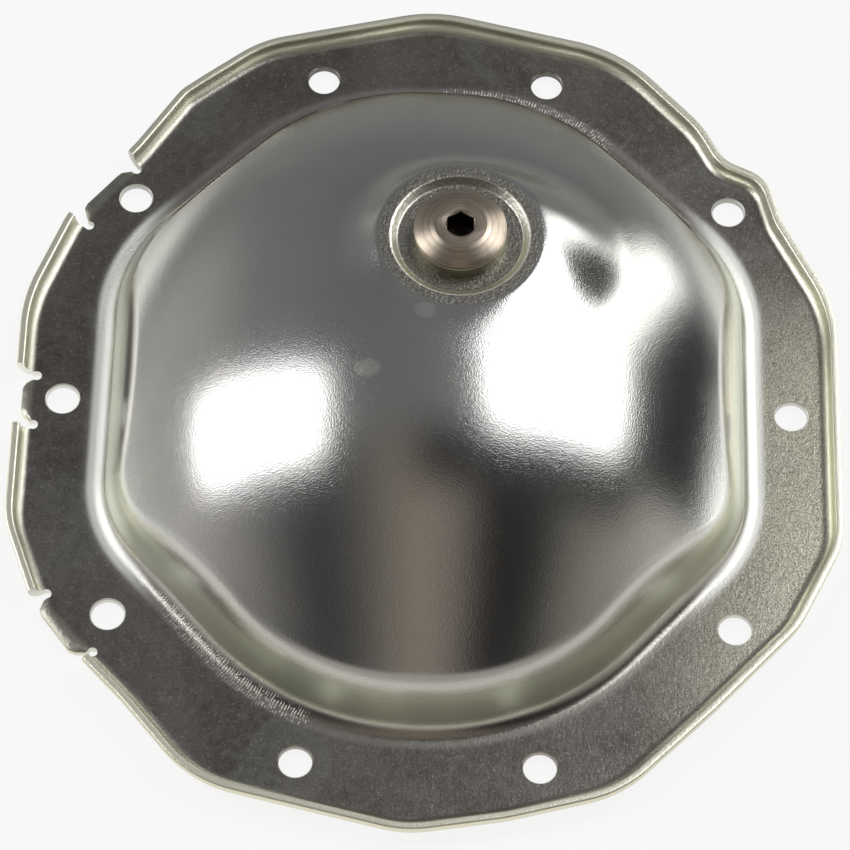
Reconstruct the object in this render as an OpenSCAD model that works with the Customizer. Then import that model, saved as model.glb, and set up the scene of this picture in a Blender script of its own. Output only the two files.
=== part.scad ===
// Differential cover: a deep pressed steel cover for the open back of a rear
// axle housing, with ten bolt holes and a fill plug in a raised pad.
// The origin is the centre of the bolt pattern on the gasket face.
// The gasket face is Z = 0, the dome rises to +Z, and +Y is the top edge.

/* [Sheet] */
// Thickness of the steel sheet
sheet_t = 2.3; // [1.6:0.1:2.6]
// Height of the turned-up edge above the gasket face
lip_h = 6.5; // [6:0.5:12]
// Inside radius of the bend at the turned-up edge
lip_r = 3; // [2:0.25:4]

/* [Bolt holes] */
// Diameter of the ten bolt holes
bolt_d = 9.1; // [8:0.1:9.5]
// Half of the spacing across of the two side holes
side_x = 101.9; // [101:0.1:102.5]
// Half of the spacing across of the four end holes
end_x = 32.6; // [31:0.1:34]
// Half of the spacing along of the four end holes
end_y = 110; // [109:0.1:111]
// How much further in than the side holes the corner holes stand, across
corner_in = 16.7; // [16:0.1:17.5]
// How much further in than the end holes the corner holes stand, along
corner_down = 42.7; // [42:0.1:43.5]

/* [Outline] */
// From the side holes out to the turned-up edge
side_margin = 13.4; // [13:0.1:16]
// From the end holes out to the edge, at the top
top_margin = 22.4; // [22:0.1:26]
// From the end holes out to the edge, at the bottom
bottom_margin = 20.9; // [20.5:0.1:26]

/* [Dome] */
// Height of the crest above the front face of the flange
crown_h = 50; // [48:0.5:56]
// Radius of the crown, across
crown_r = 120; // [116:1:130]
// Least height of the crown above the front face, towards the foot's corners
crown_low = 3; // [2:0.5:6]
// Flattening of the crown from top to bottom, 1 is a plain sphere
crown_long = 0.88; // [0.84:0.01:0.92]
// Steepest angle of the wall
wall_a = 68; // [62:1:74]
// Radius of the hollow where the wall leaves the flange
foot_r = 4.2; // [3:0.1:6]
// Width of the soft shoulder between wall and crown
shoulder = 4; // [2:0.5:6]
// From the side holes in to the dome's foot
side_land = 9.5; // [9:0.1:11]
// From the end holes in to the dome's foot, at the top
top_land = 3.5; // [3:0.1:7]
// From the end holes in to the dome's foot, at the bottom
bottom_land = 6; // [5:0.1:9]

/* [Fill pad] */
// Place of the fill plug across
plug_x = 8; // [0:0.5:16]
// Place of the fill plug along
plug_y = 25.7; // [20:0.1:32]
// How far the pad's rim stands below the crest
pad_drop = 0.4; // [-2:0.1:2]
// Radius of the pad's rim
pad_r = 22.6; // [21:0.1:25]
// Width of the flare from the pad's rim down to the crown
flare_w = 13; // [9:0.5:16]
// Depth of the round seat in the pad
seat_depth = 1.6; // [1:0.1:1.8]
// Radius of the flat of the seat
seat_r = 17.6; // [16:0.1:18]
// Width of the bevel round the seat
seat_bevel = 2; // [1:0.1:2.4]

/* [Fill plug] */
// Diameter of the plug's head and of the boss under it
head_d = 25.3; // [24:0.1:28]
// Height of the boss above its seat
boss_h = 4; // [3:0.1:6]
// Diameter of the boss where it passes the sheet
boss_shank_d = 22; // [21:0.1:23]
// Length of the boss below its seat
boss_shank_l = 11; // [8:0.5:14]
// Diameter of the thread, as a plain cylinder
thread_d = 18; // [16:0.1:18.5]
// Length of the plug's thread
thread_l = 16.5; // [10:0.5:18]
// Height of the head's straight rim
rim_h = 1.2; // [0.8:0.1:2]
// Height of the head's cone above the rim
cone_h = 2.2; // [1:0.1:3]
// Diameter of the flat land round the socket
land_d = 14.6; // [12:0.1:18]
// Width across flats of the hexagon socket
hex_af = 7.2; // [6:0.1:8]
// Depth of the hexagon socket
hex_depth = 6.5; // [4:0.5:8]

/* [Fits] */
// Play on each side between the boss and its hole in the sheet
boss_play = 0.1; // [0.05:0.05:0.3]
// Play on each side between the plug's thread and the boss
thread_play = 0.1; // [0.05:0.05:0.2]

/* [Hidden] */
$fn = 96;
eps = 0.5;
corner_x = side_x - corner_in;
corner_y = end_y - corner_down;
half_w = side_x + side_margin;
top_y = end_y + top_margin;
bottom_y = end_y + bottom_margin;
dome_w = side_x - side_land;
dome_top = end_y - top_land;
dome_bottom = end_y - bottom_land;
pad_h = crown_h - pad_drop;
seat_z = sheet_t + pad_h - seat_depth;
boss_top = seat_z + boss_h;
pad_top = sheet_t + pad_h;
boss_hole_r = boss_shank_d / 2 + boss_play;
plug_c = [plug_x, plug_y];
// Flat ground kept outside the dome's foot
foot_out = 1.2;
// Radius at which the pad's turned middle joins the dome's flare
join_r = pad_r - 2.2;
// How far the back of the flare stands in, as a share of the sheet
flare_shift = 0.45;

// Width over which the crown levels out towards its least height
crown_blend = 10;

// Corners of the turned-up edge, counter-clockwise, each as X, Y and radius
edge_corners = [
    [half_w, corner_y - 33.8, 45], [half_w - 15.1, corner_y - 4.7, 20],
    [half_w - 19, corner_y + 9.8, 12], [half_w - 31.3, corner_y + 15.5, 10],
    [half_w - 37.3, corner_y + 27.3, 34], [end_x + 21.6, top_y - 12, 44],
    [-1, top_y + 0.9, 40], [-end_x - 18.8, top_y - 11.2, 34],
    [-half_w + 48.3, corner_y + 41.5, 24], [-half_w + 41.3, corner_y + 35.7, 12],
    [-half_w + 29.3, corner_y + 16.9, 30], [-half_w + 11, corner_y - 7.7, 24],
    [-half_w, corner_y - 36.8, 50], [-half_w, -corner_y + 26.8, 30],
    [-half_w + 10.3, -corner_y - 1.1, 22], [-half_w + 35.3, -corner_y - 27.3, 60],
    [-end_x - 27.7, -bottom_y + 12.8, 36], [-3, -bottom_y - 0.6, 32],
    [end_x - 8.6, -bottom_y + 3.9, 60], [end_x + 21.9, -bottom_y + 12.1, 34],
    [half_w - 36.3, -corner_y - 26.7, 60], [half_w - 12.7, -corner_y - 0.8, 26],
    [half_w, -corner_y + 25.3, 26]
];

// Corners of the dome's foot, counter-clockwise, each as X, Y and radius
foot_corners = [
    [dome_w, corner_y - 19.7, 48], [end_x + 2.1, dome_top, 68],
    [-end_x - 2.1, dome_top, 68], [-dome_w, corner_y - 19.7, 48],
    [-dome_w, -corner_y + 26.1, 40], [-end_x - 3.4, -dome_bottom, 78],
    [end_x + 3.4, -dome_bottom, 78], [dome_w, -corner_y + 26.1, 40]
];

// The three flat tabs: notch tip, tab corner, tab corner, notch tip
tabs = [
    [[-half_w + 29.7, corner_y + 9.8], [-half_w + 25, corner_y + 8.9],
        [-half_w + 15.3, corner_y - 2.9], [-half_w + 17.2, corner_y - 9.7]],
    [[-half_w + 5.7, 7.2], [-half_w + 1.9, 4.4],
        [-half_w + 1.9, -4.4], [-half_w + 5.7, -8.6]],
    [[-half_w + 13.1, -corner_y + 5.7], [-half_w + 11.3, -corner_y + 0.5],
        [-half_w + 20.7, -corner_y - 11.7], [-half_w + 26.7, -corner_y - 11.7]]
];
notch_r = 1.4;
notch_w = 2.6;

// Unit vector along v
function unit(v) = v / norm(v);
// Signed angle from direction a to direction b
function turn(a, b) = atan2(a.x * b.y - a.y * b.x, a.x * b.x + a.y * b.y);
// Outward normal of a counter-clockwise run with direction d
function out(d) = [d.y, -d.x];

// Points along a loop of rounded corners, each as [point, outward normal]
function loop(c, arc_step, run_step) = let (n = len(c)) [
    for (i = [0 : n - 1]) let (
        p = [c[i].x, c[i].y],
        q = [c[(i + 1) % n].x, c[(i + 1) % n].y],
        o = [c[(i + n - 1) % n].x, c[(i + n - 1) % n].y],
        w = [c[(i + 2) % n].x, c[(i + 2) % n].y],
        a = unit(p - o),
        b = unit(q - p),
        t = turn(a, b),
        r = c[i][2],
        side = sign(t),
        from = p - a * r * tan(abs(t) / 2),
        centre = from - side * r * out(a),
        to = p + b * r * tan(abs(t) / 2),
        next = q - b * c[(i + 1) % n][2] * tan(abs(turn(b, unit(w - q))) / 2),
        m = ceil(abs(t) / arc_step),
        k = floor(norm(next - to) / run_step),
        base = atan2(-a.x, a.y)
    ) each concat(
        [for (j = [0 : m]) let (g = base + t * j / m, nrm = [cos(g), sin(g)])
            [centre + side * r * nrm, nrm]],
        [for (j = [1 : 1 : k]) [to + (next - to) * j / (k + 1), out(b)]]
    )
];

// A closed band: rings of points, each joined to the next, the last to the first
module band(rings) {
    n = len(rings[0]);
    m = len(rings);
    polyhedron(
        points = [for (ring = rings) each ring],
        faces = [for (k = [0 : m - 1], i = [0 : n - 1]) let (
            a = k * n + i,
            b = k * n + (i + 1) % n,
            c = (k + 1) % m * n + i,
            d = (k + 1) % m * n + (i + 1) % n)
            each [[a, c, d], [a, d, b]]],
        convexity = 6
    );
}

edge = loop(edge_corners, 10, 2 * top_y);
foot = loop(foot_corners, 7, 12);

// Points of a loop, moved inwards
function inset(l, by) = [for (s = l) s[0] - by * s[1]];
// The same points at one height
function ring(l, by, z) = [for (p = inset(l, by)) [each p, z]];

// The smaller of a and b, blended over the width k
function soft_min(a, b, k) =
    let (h = max(k - abs(a - b), 0) / k) min(a, b) - h * h * k / 4;

// Height of the crown over the front face at p, for a skin that lies t deeper
function crown(p, t) = -soft_min(t - crown_low, crown_r - crown_h
    - sqrt(pow(crown_r - t, 2) - pow(p.x, 2) - pow(crown_long * p.y, 2)), crown_blend);

// Height of foot and wall over the front face, d inside the foot line
function wall(d, t) = let (r = foot_r + t, x = r * sin(wall_a))
    d < x ? foot_r - sqrt(r * r - d * d)
          : foot_r - r * cos(wall_a) + (d - x) * tan(wall_a);

// Height of the bare dome at p, d inside the foot line, with no blend at the foot
function dome_z(p, d, t) = soft_min(crown(p, t), wall(d, t), shoulder * min(1, (d + 0.5) / 6));

// Height of the flare round the pad, which starts at the radius r
function flare_z(p, r, t) = let (
    q = min(max((norm(p - plug_c) - r) / flare_w, 0), 1), c = crown(p, t)
) c + (pad_h - t - c) * pow(1 - q, 2.6);

// Steps over foot, wall and shoulder, over the crown, and down the flare
rim_steps = [0, 1.3, 2.5, 3.6, 4.6, 6.2, 7.8, 9, 10.2, 11.6, 13.6];
crown_steps = [0.84, 0.68, 0.52, 0.36, 0.22, 0.1];
flare_steps = [1, 0.8, 0.6, 0.44, 0.3, 0.18, 0.08, 0];

// Rings of one side of the dome, t under the front, from its foot to the pad
function dome_rings(t) = let (
    last = rim_steps[len(rim_steps) - 1],
    grow = 1 + t / 14,
    r = pad_r - t * flare_shift
) concat(
    [for (d = rim_steps) [for (s = foot) let (p = s[0] - d * grow * s[1])
        [each p, sheet_t + dome_z(p, d * grow, t)]]],
    [for (u = crown_steps) [for (s = foot) let (
        a = s[0] - last * grow * s[1],
        b = plug_c + (r + flare_w) * unit(s[0] - plug_c),
        p = b + u * (a - b))
        [each p, sheet_t + crown(p, t)]]],
    [for (f = flare_steps) [for (s = foot) let (
        p = plug_c + (r + f * flare_w) * unit(s[0] - plug_c))
        [each p, sheet_t + flare_z(p, r, t)]]]
);

// Dome from its foot up to the rim of the pad
module dome() {
    join = [for (s = foot) plug_c + join_r * unit(s[0] - plug_c)];
    back = dome_rings(sheet_t);
    band(concat(
        [ring(foot, -foot_out, 0), ring(foot, -foot_out, sheet_t)],
        dome_rings(0),
        [[for (p = join) [each p, pad_top]], [for (p = join) [each p, pad_top - sheet_t]]],
        [for (k = [len(back) - 1 : -1 : 0]) back[k]]
    ));
}

// Rim and seat of the pad, with the hole for the boss
module pad() {
    lip = seat_r + seat_bevel;
    translate([plug_x, plug_y, 0]) rotate_extrude() polygon([
        [boss_hole_r, seat_z - sheet_t], [seat_r + 0.4, seat_z - sheet_t],
        [lip + 0.4, pad_top - sheet_t], [join_r + 0.5, pad_top - sheet_t],
        [join_r + 0.5, pad_top], [lip, pad_top], [seat_r, seat_z], [boss_hole_r, seat_z]
    ]);
}

// Slot of one notch, from its round tip out past the edge
module notch(tip) {
    side = notch_w / 2 * out(unit(tip));
    translate(tip) circle(r = notch_r);
    polygon([tip + side, tip + side + 14 * unit(tip), tip - side + 14 * unit(tip),
        tip - side]);
}

// Turned-up edge, cut away at the tabs and notches
module turned_edge() {
    outer_r = lip_r + sheet_t;
    bend = [0 : 18 : 90];
    difference() {
        band(concat(
            [for (g = bend) ring(edge, outer_r * (1 - sin(g)), outer_r * (1 - cos(g)))],
            [ring(edge, 0, lip_h), ring(edge, sheet_t, lip_h)],
            [for (g = [90 : -18 : 0])
                ring(edge, sheet_t + lip_r * (1 - sin(g)), sheet_t + lip_r * (1 - cos(g)))]
        ));
        translate([0, 0, -eps]) linear_extrude(lip_h + 2 * eps) for (tab = tabs) {
            polygon([tab[0] - 2 * unit(tab[0]), tab[0] + 26 * unit(tab[0]),
                tab[3] + 26 * unit(tab[3]), tab[3] - 2 * unit(tab[3])]);
            notch(tab[0]);
            notch(tab[3]);
        }
    }
}

// Flat flange with the three tabs and the ten bolt holes
module flange() {
    linear_extrude(sheet_t) difference() {
        union() {
            polygon(inset(edge, lip_r + sheet_t));
            for (tab = tabs) polygon(concat(tab,
                [tab[3] - 7 * unit(tab[3]), tab[0] - 7 * unit(tab[0])]));
        }
        polygon(inset(foot, -foot_out));
        for (tab = tabs) {
            notch(tab[0]);
            notch(tab[3]);
        }
        for (x = [-1, 1]) {
            for (y = [-1, 1]) {
                translate([x * end_x, y * end_y]) circle(d = bolt_d);
                translate([x * corner_x, y * corner_y]) circle(d = bolt_d);
            }
            translate([x * side_x, 0]) circle(d = bolt_d);
        }
    }
}

// Pressed cover, one sheet
module cover() {
    color("silver") {
        flange();
        turned_edge();
        dome();
        pad();
    }
}

// Threaded boss that carries the plug
module fill_boss() {
    color("darkkhaki") translate([plug_x, plug_y, seat_z]) difference() {
        union() {
            cylinder(d = head_d, h = boss_h);
            translate([0, 0, -boss_shank_l]) cylinder(d = boss_shank_d, h = boss_shank_l + 1);
        }
        translate([0, 0, -boss_shank_l - 1])
            cylinder(d = thread_d + 2 * thread_play, h = boss_shank_l + boss_h + 2);
    }
}

// Turned fill plug with a hexagon socket
module fill_plug() {
    chamfer = 0.4;
    color("tan") translate([plug_x, plug_y, boss_top]) difference() {
        rotate_extrude() polygon([
            [0, -thread_l], [thread_d / 2 - 1, -thread_l],
            [thread_d / 2, 1 - thread_l], [thread_d / 2, 0],
            [head_d / 2 - chamfer, 0], [head_d / 2, chamfer],
            [head_d / 2, rim_h], [land_d / 2, rim_h + cone_h], [0, rim_h + cone_h]
        ]);
        translate([0, 0, rim_h + cone_h - hex_depth]) rotate(90)
            cylinder(d = hex_af / cos(30), h = hex_depth + 1, $fn = 6);
        translate([0, 0, rim_h + cone_h - 0.5])
            cylinder(d1 = hex_af, d2 = hex_af + 2, h = 1);
    }
}

cover();
fill_boss();
fill_plug();
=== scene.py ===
"""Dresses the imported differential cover: a pressed sheet, its fill boss and its fill plug.

The pressed sheet is drawn again here as one fine skin, because a bright plated dome
shows every facet. Boss and plug are modelled over their CAD nodes with the edges,
thread and tool marks that the real ones have. Lengths are millimetres until a mesh is
made, and all of them are in the part's own frame.
"""

import logging
import math
from collections.abc import Callable
from dataclasses import dataclass, field
from enum import Enum

import bpy
import numpy as np
from mathutils import Matrix, Vector

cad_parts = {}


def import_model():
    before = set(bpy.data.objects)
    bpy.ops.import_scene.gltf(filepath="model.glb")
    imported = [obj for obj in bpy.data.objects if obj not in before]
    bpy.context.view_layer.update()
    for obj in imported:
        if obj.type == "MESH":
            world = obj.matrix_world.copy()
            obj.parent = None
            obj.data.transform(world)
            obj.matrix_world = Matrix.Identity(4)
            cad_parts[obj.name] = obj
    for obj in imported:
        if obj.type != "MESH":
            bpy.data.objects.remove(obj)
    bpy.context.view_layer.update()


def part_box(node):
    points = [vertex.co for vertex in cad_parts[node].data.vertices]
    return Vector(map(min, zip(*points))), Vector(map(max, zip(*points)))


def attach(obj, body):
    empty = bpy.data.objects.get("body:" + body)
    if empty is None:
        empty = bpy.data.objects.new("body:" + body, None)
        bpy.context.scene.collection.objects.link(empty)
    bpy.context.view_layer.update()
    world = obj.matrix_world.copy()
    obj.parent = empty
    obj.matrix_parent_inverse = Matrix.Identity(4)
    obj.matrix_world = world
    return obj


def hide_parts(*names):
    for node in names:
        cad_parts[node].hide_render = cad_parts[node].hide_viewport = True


MM = 0.001
LOG = logging.getLogger("differential_cover")


class Side(Enum):
    """The two skins of the sheet."""

    FRONT = 0.0
    BACK = 1.0


def deselect_all() -> None:
    """Leaves object mode with nothing selected."""
    if bpy.context.object and bpy.context.object.mode != "OBJECT":
        bpy.ops.object.mode_set(mode="OBJECT")
    bpy.ops.object.select_all(action="DESELECT")


def make_active(piece: bpy.types.Object) -> None:
    """Selects one object alone and makes it the active one."""
    deselect_all()
    piece.select_set(True)
    bpy.context.view_layer.objects.active = piece


def settle(piece: bpy.types.Object) -> None:
    """Moves an object's place, turn and scale into its mesh."""
    make_active(piece)
    bpy.ops.object.transform_apply(location=True, rotation=True, scale=True)


def pick_faces(piece: bpy.types.Object, wanted: Callable[[bpy.types.MeshPolygon], bool]) -> None:
    """Opens an object in edit mode with only some of its faces selected.

    Args:
        piece: The object.
        wanted: Says of a face whether it is picked.
    """
    make_active(piece)
    bpy.ops.object.mode_set(mode="EDIT")
    bpy.ops.mesh.select_mode(type="FACE")
    bpy.ops.mesh.select_all(action="DESELECT")
    bpy.ops.object.mode_set(mode="OBJECT")
    for face in piece.data.polygons:
        face.select = wanted(face)
    bpy.ops.object.mode_set(mode="EDIT")


def apply_modifier(piece: bpy.types.Object, kind: str, **settings: object) -> None:
    """Adds a modifier and applies it.

    Args:
        piece: The object that the modifier shapes.
        kind: Blender's name of the modifier's type.
        settings: The modifier's own settings.
    """
    make_active(piece)
    modifier = piece.modifiers.new(kind.title(), kind)
    for name, value in settings.items():
        setattr(modifier, name, value)
    bpy.ops.object.modifier_apply(modifier=modifier.name)


def cut_away(piece: bpy.types.Object, cutter: bpy.types.Object) -> None:
    """Cuts one object out of another and deletes the cutter.

    Args:
        piece: The object that is cut.
        cutter: A closed object that gives the shape of the cut.
    """
    apply_modifier(piece, "BOOLEAN", object=cutter, operation="DIFFERENCE", solver="MANIFOLD")
    bpy.data.objects.remove(cutter, do_unlink=True)


def smooth(piece: bpy.types.Object, angle_deg: float) -> None:
    """Shades an object smooth up to an edge angle."""
    make_active(piece)
    bpy.ops.object.shade_smooth_by_angle(angle=math.radians(angle_deg))


def join(pieces: list[bpy.types.Object], name: str) -> bpy.types.Object:
    """Joins objects into the first of them.

    Args:
        pieces: The objects, of which the first stays.
        name: The joined object's name.

    Returns:
        The joined object.
    """
    deselect_all()
    for piece in pieces:
        piece.select_set(True)
    bpy.context.view_layer.objects.active = pieces[0]
    bpy.ops.object.join()
    pieces[0].name = name
    return pieces[0]


class Nodes:
    """A short way to write the node tree of a material or of the world."""

    def __init__(self, owner: bpy.types.Material | bpy.types.World) -> None:
        """Empties the owner's node tree and adds its output."""
        owner.use_nodes = True
        self.owner = owner
        self.tree = owner.node_tree
        self.tree.nodes.clear()
        kind = "World" if isinstance(owner, bpy.types.World) else "Material"
        self.output = self.add("ShaderNodeOutput" + kind)

    def add(self, kind: str, **settings: object) -> bpy.types.Node:
        """Adds a node.

        Args:
            kind: The node's type.
            settings: The node's own settings.

        Returns:
            The new node.
        """
        node = self.tree.nodes.new(kind)
        for key, value in settings.items():
            setattr(node, key, value)
        return node

    def plug(self, value: object, socket: bpy.types.NodeSocket) -> None:
        """Links an output to a socket, or writes a constant on it."""
        if isinstance(value, bpy.types.NodeSocket):
            self.tree.links.new(value, socket)
        else:
            socket.default_value = value

    def math(self, operation: str, a: object, b: object = 0.0, c: object = 0.0,
             clamp: bool = False) -> bpy.types.NodeSocket:
        """Works out one number from up to three.

        Args:
            operation: The Math node's operation.
            a: The first value, a number or an output.
            b: The second value.
            c: The third value.
            clamp: Whether the result is kept between 0 and 1.

        Returns:
            The result.
        """
        node = self.add("ShaderNodeMath", operation=operation, use_clamp=clamp)
        for value, socket in zip((a, b, c), node.inputs):
            self.plug(value, socket)
        return node.outputs[0]

    def ramp(self, value: object, low: float, high: float, to_low: float = 0.0,
             to_high: float = 1.0) -> bpy.types.NodeSocket:
        """Maps a number smoothly from one range to another.

        Args:
            value: The number.
            low: Where the range starts.
            high: Where the range ends.
            to_low: The result at its start.
            to_high: The result at its end.

        Returns:
            The mapped number.
        """
        node = self.add("ShaderNodeMapRange", interpolation_type="SMOOTHSTEP")
        for number, socket in zip((value, low, high, to_low, to_high), node.inputs):
            self.plug(number, socket)
        return node.outputs[0]

    def band(self, value: object, low: float, high: float, soft: float) -> bpy.types.NodeSocket:
        """1 between two bounds, 0 outside them, with soft ends."""
        return self.math("MULTIPLY", self.ramp(value, low - soft, low + soft),
                         self.ramp(value, high + soft, high - soft))

    def tones(self, value: object, stops: list[tuple[float, tuple]]) -> bpy.types.NodeSocket:
        """Turns a number from -1 to 1 into a colour.

        Args:
            value: The number.
            stops: Rising numbers, each with the colour that it gets.

        Returns:
            The colour.
        """
        node = self.add("ShaderNodeValToRGB")
        node.color_ramp.interpolation = "EASE"
        elements = node.color_ramp.elements
        while len(elements) < len(stops):
            elements.new(0.5)
        for element, (at, colour) in zip(elements, stops):
            element.position = (at + 1) / 2
            element.color = (*colour, 1.0)
        self.plug(self.math("MULTIPLY_ADD", value, 0.5, 0.5, clamp=True), node.inputs[0])
        return node.outputs[0]

    def mix(self, factor: object, a: object, b: object) -> bpy.types.NodeSocket:
        """Mixes two colours by a factor."""
        node = self.add("ShaderNodeMix", data_type="RGBA")
        self.plug(factor, node.inputs[0])
        self.plug(a, node.inputs[6])
        self.plug(b, node.inputs[7])
        return node.outputs[2]

    def blend(self, factor: object, a: object, b: object) -> bpy.types.NodeSocket:
        """Mixes two numbers by a factor."""
        node = self.add("ShaderNodeMix", data_type="FLOAT")
        self.plug(factor, node.inputs[0])
        self.plug(a, node.inputs[2])
        self.plug(b, node.inputs[3])
        return node.outputs[0]

    def noise(self, vector: object, scale: float, detail: float = 2.0,
              roughness: float = 0.5, distortion: float = 0.0) -> bpy.types.NodeSocket:
        """Noise between 0 and 1 over a vector.

        Args:
            vector: Where it is read.
            scale: How many features lie in a metre, or in a unit of the vector.
            detail: How many finer octaves it has.
            roughness: How strong these are.
            distortion: How much it is stirred.

        Returns:
            The noise.
        """
        node = self.add("ShaderNodeTexNoise")
        self.plug(vector, node.inputs["Vector"])
        node.inputs["Scale"].default_value = scale
        node.inputs["Detail"].default_value = detail
        node.inputs["Roughness"].default_value = roughness
        node.inputs["Distortion"].default_value = distortion
        return node.outputs["Fac"]

    def mapped(self, vector: object, location: tuple = (0, 0, 0),
               rotation: tuple = (0, 0, 0), scale: tuple = (1, 1, 1)) -> bpy.types.NodeSocket:
        """Moves, turns and stretches a vector."""
        node = self.add("ShaderNodeMapping")
        self.plug(vector, node.inputs["Vector"])
        node.inputs["Location"].default_value = location
        node.inputs["Rotation"].default_value = rotation
        node.inputs["Scale"].default_value = scale
        return node.outputs[0]

    def bump(self, height: object, distance: float, strength: object,
             normal: object = None) -> bpy.types.NodeSocket:
        """A bumped normal.

        Args:
            height: The height, between 0 and 1.
            distance: What a height of 1 means, in metres.
            strength: How much of it shows.
            normal: The normal under it.

        Returns:
            The new normal.
        """
        node = self.add("ShaderNodeBump")
        self.plug(strength, node.inputs["Strength"])
        node.inputs["Distance"].default_value = distance
        self.plug(height, node.inputs["Height"])
        if normal is not None:
            self.plug(normal, node.inputs["Normal"])
        return node.outputs[0]


@dataclass(frozen=True)
class ZincSheet:
    """Bright zinc over pressed sheet: a satin mirror on the dome, duller on the flange.

    The coordinate "press" runs round the foot of the dome and inwards from it, both in
    centimetres; the flange is below 0, the dome above, pad and seat from 30 up.
    """

    dome: tuple = (0.57, 0.565, 0.55, 1.0)
    flange: tuple = (0.29, 0.27, 0.245, 1.0)
    # The lip's colour is the zinc's yellowish tint, raised to near white as a painted highlight of the
    # softboxes on the turned edge.
    lip: tuple = (0.96, 0.95, 0.80, 1.0)
    dome_roughness: float = 0.16
    flange_roughness: float = 0.30
    seat_roughness: float = 0.40
    bevel: tuple = (4.5, 5.5)
    crimps: tuple = ((0.002, 0.05, 0.08, 0.11), (-0.07, -0.03, -0.10, -0.05),
                     (-0.10, -0.08, 0.02, 0.058))
    spots: tuple = ((-1.0, 1.9, 3.0), (18.0, -3.0, 4.0), (21.5, -5.5, 2.4), (-16.0, -20.0, 3.4))

    def marks(self, n: Nodes, place: bpy.types.NodeSocket,
              foot: bpy.types.NodeSocket) -> tuple[bpy.types.NodeSocket, bpy.types.NodeSocket]:
        """Where the sheet was crimped at the foot, and where drops dried on the dome.

        Args:
            n: The material's nodes.
            place: The object's own coordinates.
            foot: 1 along the foot of the dome.

        Returns:
            The share of crimping and of dried drops.
        """
        at = n.add("ShaderNodeSeparateXYZ")
        n.plug(place, at.inputs[0])
        crimped = 0.0
        for left, right, bottom, top in self.crimps:
            here = n.math("MULTIPLY", n.band(at.outputs[0], left, right, 0.004),
                          n.band(at.outputs[1], bottom, top, 0.004))
            crimped = n.math("ADD", crimped, here, clamp=True)
        dried = 0.0
        for x, y, radius in self.spots:
            away = n.add("ShaderNodeVectorMath", operation="LENGTH")
            n.plug(n.mapped(place, (-x * MM, -y * MM, 0.0), scale=(1.0, 1.25, 0.0)), away.inputs[0])
            far = n.math("ADD", away.outputs["Value"],
                         n.math("MULTIPLY", n.noise(place, 330.0, 3.0, 0.6), 0.0022))
            edge = radius * MM + 0.0011
            ring = n.band(far, edge - 0.0007, edge, 0.0003)
            disc = n.math("MULTIPLY", n.ramp(far, edge, edge - 0.0004), 0.45)
            dried = n.math("ADD", dried, n.math("MAXIMUM", n.math("MULTIPLY", ring, 0.4), disc))
        return n.math("MULTIPLY", crimped, foot), dried

    def build(self, name: str) -> bpy.types.Material:
        """Makes the material.

        Args:
            name: The material's name.

        Returns:
            The material.
        """
        n = Nodes(bpy.data.materials.new(name))
        place = n.add("ShaderNodeTexCoord").outputs["Object"]
        press = n.add("ShaderNodeUVMap", uv_map="press").outputs[0]
        split = n.add("ShaderNodeSeparateXYZ")
        n.plug(press, split.inputs[0])
        inward = split.outputs[1]
        where = n.add("ShaderNodeSeparateXYZ")
        n.plug(place, where.inputs[0])
        on_dome = n.ramp(inward, -0.05, 0.45)
        raised = n.ramp(where.outputs[2], 0.0024, 0.0032)
        on_lip = n.math("MAXIMUM", n.math("MULTIPLY", n.ramp(inward, -0.60, -0.95), raised),
                        n.ramp(inward, -1.40, -1.50))
        # A lighter band over the inner bend of the turned edge: a painted highlight where the bend
        # catches the softboxes.
        bend_highlight = n.math("MULTIPLY", n.ramp(inward, -0.70, -1.25), 0.45)
        on_seat = n.ramp(inward, 3.45, 3.85)
        # The seat's bevel ring is painted near white except on its far side (larger y): a painted
        # highlight.
        bevel_highlight = n.math("MULTIPLY", n.band(inward, self.bevel[0], self.bevel[1], 0.3),
                          n.ramp(where.outputs[1], 0.044, 0.034, 0.05, 1.0))
        wall = n.band(inward, 0.42, 0.85, 0.12)
        foot = n.math("MULTIPLY", n.ramp(inward, -0.25, -0.02), n.ramp(inward, 0.40, 0.25))
        crimped, dried = self.marks(n, place, foot)
        beat = n.math("MULTIPLY_ADD", split.outputs[0], 2 * math.pi * 118.0,
                      n.math("MULTIPLY", n.noise(n.mapped(press, scale=(1.0, 0.1, 1.0)), 30.0), 9.0))
        ticks = n.math("MULTIPLY", crimped, n.ramp(n.math("SINE", beat), 0.0, 0.9))
        ticks = n.math("MULTIPLY", ticks, n.ramp(
            n.noise(n.mapped(press, scale=(1.0, 0.15, 1.0)), 60.0, 2.0), 0.42, 0.60))
        sides = n.ramp(n.math("ABSOLUTE", where.outputs[0]), 0.070, 0.084)
        shiny = n.math("MULTIPLY", foot, sides)

        cloud = n.noise(place, 24.0, 3.0, 0.55, 0.6)
        stain = n.ramp(n.noise(n.mapped(place, (0.31, 0.12, 0.0)), 30.0, 2.0, 0.5, 0.8), 0.57, 0.62)
        drawn = n.noise(place, 330.0, 4.0, 0.75)
        grain = n.noise(place, 2300.0, 2.0, 0.6)
        speck = n.ramp(n.noise(place, 1150.0, 2.0, 0.65), 0.55, 0.72)
        scratch = n.ramp(n.noise(n.mapped(place, rotation=(0, 0, 0.45), scale=(1.0, 16.0, 1.0)),
                                 260.0, 2.0, 0.5), 0.66, 0.72)

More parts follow.
